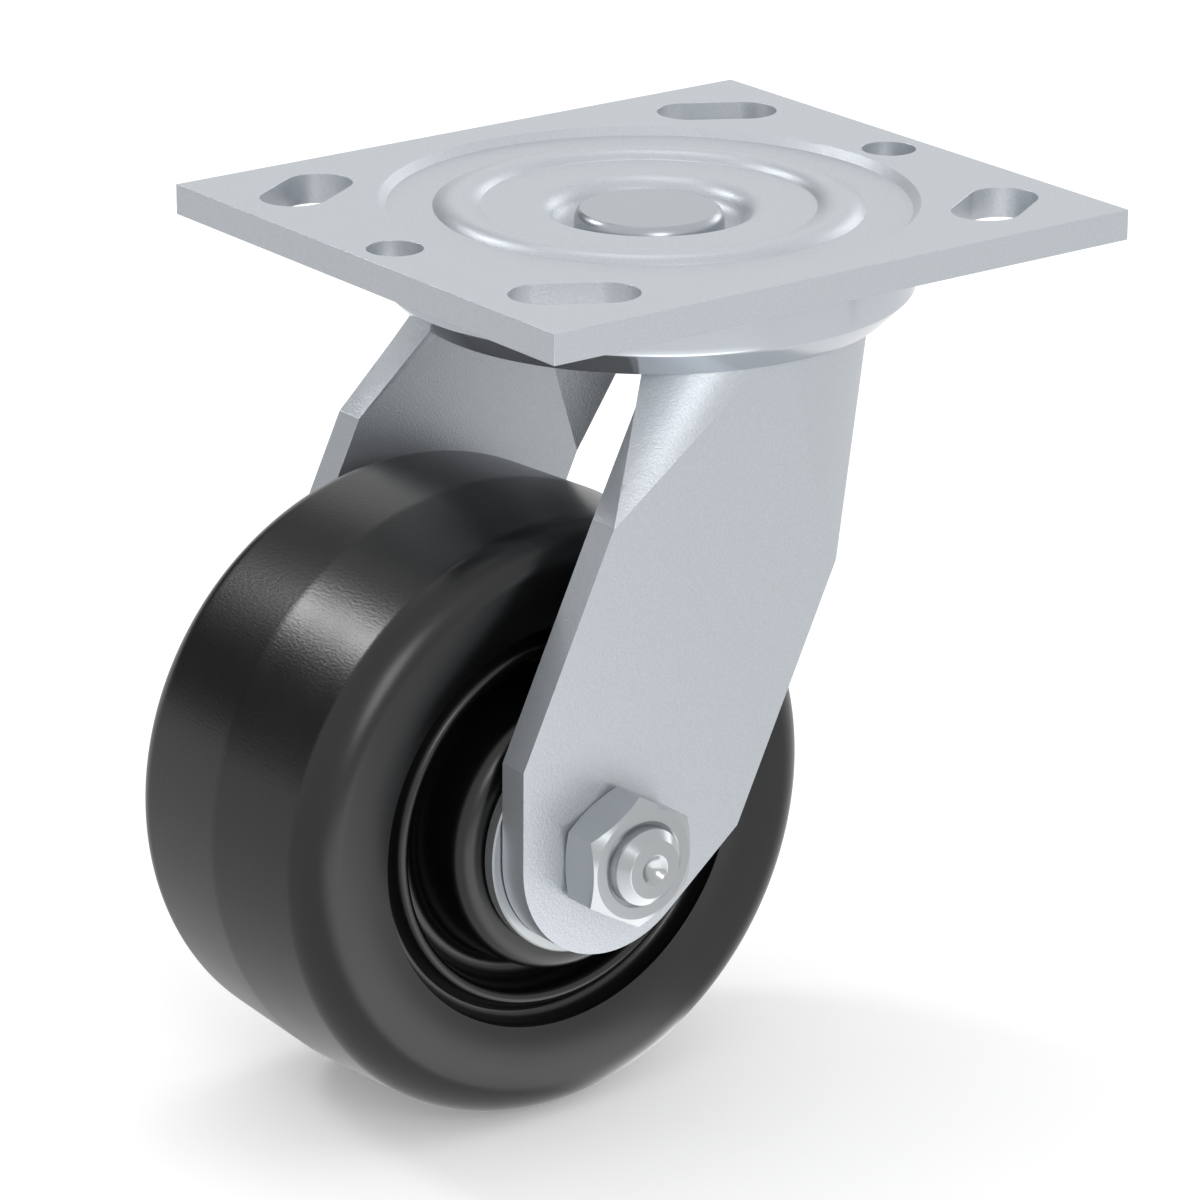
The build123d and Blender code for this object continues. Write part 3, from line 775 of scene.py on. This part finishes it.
class CASTOR_OT_stage(bpy.types.Operator):
    """Set up the camera, the soft studio lights, the white surround and the pale floor."""

    bl_idname = "castor.stage"
    bl_label = "Studio"

    def execute(self, context):
        stage = context.scene.castor_stage
        scene = context.scene
        scene.view_settings.view_transform = "Standard"
        lens = bpy.data.cameras.new("camera")
        lens.sensor_width = 36
        lens.lens = stage.camera_lens
        lens.clip_start, lens.clip_end = 0.05, 20
        camera = link(bpy.data.objects.new("camera", lens))
        heading, dip, roll = stage.camera_heading, stage.camera_dip, stage.camera_roll
        level = math.cos(dip)
        forward = Vector((level * math.cos(heading), level * math.sin(heading), -math.sin(dip)))
        right = Vector((math.sin(heading), -math.cos(heading), 0))
        down = forward.cross(right)
        rolled_right = math.cos(roll) * right + math.sin(roll) * down
        rolled_down = math.cos(roll) * down - math.sin(roll) * right
        turn = Matrix((rolled_right, -rolled_down, -forward)).transposed()
        camera.matrix_world = Matrix.Translation(stage.camera_place) @ turn.to_4x4()
        scene.camera = camera

        scene.world = white_world(stage.surround)
        area_light("key_light", azimuth=118.5, rise=38, distance=1.5, width=0.28, height=0.24, power=3.9)
        area_light("front_light", azimuth=-110, rise=24, distance=1.6, width=0.5, height=0.6, power=5.0)
        area_light("top_light", azimuth=68, rise=73, distance=1.3, width=0.5, height=0.5, power=1.0)
        area_light("side_light", azimuth=8, rise=15, distance=1.8, width=0.8, height=0.7, power=3.4)
        if stage.show_cards:
            card("back_card", azimuth=110, spread=32, low=0.16, high=1.45, distance=2.0, shade=0.1)
            card("upper_card", azimuth=104, spread=36, low=1.45, high=3.5, distance=2.0, shade=0.6)
            card("side_strip", azimuth=-33, spread=1.2, low=0.0, high=0.3, distance=0.5, shade=0.3)
        if stage.show_floor:
            pale_floor(FLOOR_HALF, stage.floor_glow)
        return {"FINISHED"}


class CASTOR_PT_sidebar(bpy.types.Panel):
    """Lists the castor's pieces and the studio."""

    bl_idname = "CASTOR_PT_sidebar"
    bl_label = "Swivel castor"
    bl_space_type = "VIEW_3D"
    bl_region_type = "UI"
    bl_category = "Castor"

    def draw(self, context):
        scene = context.scene
        for group in (scene.castor_finish, scene.castor_shape, scene.castor_stage):
            box = self.layout.box()
            for key in group.bl_rna.properties.keys():
                if key not in ("rna_type", "name"):
                    box.prop(group, key)
        for operator in OPERATORS:
            self.layout.operator(operator.bl_idname)


SETTINGS = (CastorFinishSettings, CastorShapeSettings, CastorStageSettings)
OPERATORS = (
    CASTOR_OT_top_plate,
    CASTOR_OT_kingpin,
    CASTOR_OT_balls,
    CASTOR_OT_fork,
    CASTOR_OT_wheel,
    CASTOR_OT_axle,
    CASTOR_OT_rollers,
    CASTOR_OT_stage,
)


def register():
    """Register the settings, operators and panel, and hang the settings on the scene."""
    for kind in (*SETTINGS, *OPERATORS, CASTOR_PT_sidebar):
        bpy.utils.register_class(kind)
    bpy.types.Scene.castor_finish = PointerProperty(type=CastorFinishSettings)
    bpy.types.Scene.castor_shape = PointerProperty(type=CastorShapeSettings)
    bpy.types.Scene.castor_stage = PointerProperty(type=CastorStageSettings)


def unregister():
    """Take everything that register added away again."""
    del bpy.types.Scene.castor_finish
    del bpy.types.Scene.castor_shape
    del bpy.types.Scene.castor_stage
    for kind in reversed((*SETTINGS, *OPERATORS, CASTOR_PT_sidebar)):
        bpy.utils.unregister_class(kind)


def main():
    """Make every piece and the studio in order."""
    register()
    bpy.ops.castor.top_plate()
    bpy.ops.castor.kingpin()
    bpy.ops.castor.balls()
    bpy.ops.castor.fork()
    bpy.ops.castor.wheel()
    bpy.ops.castor.axle()
    bpy.ops.castor.rollers()
    bpy.ops.castor.stage()


if __name__ == "__main__":
    main()
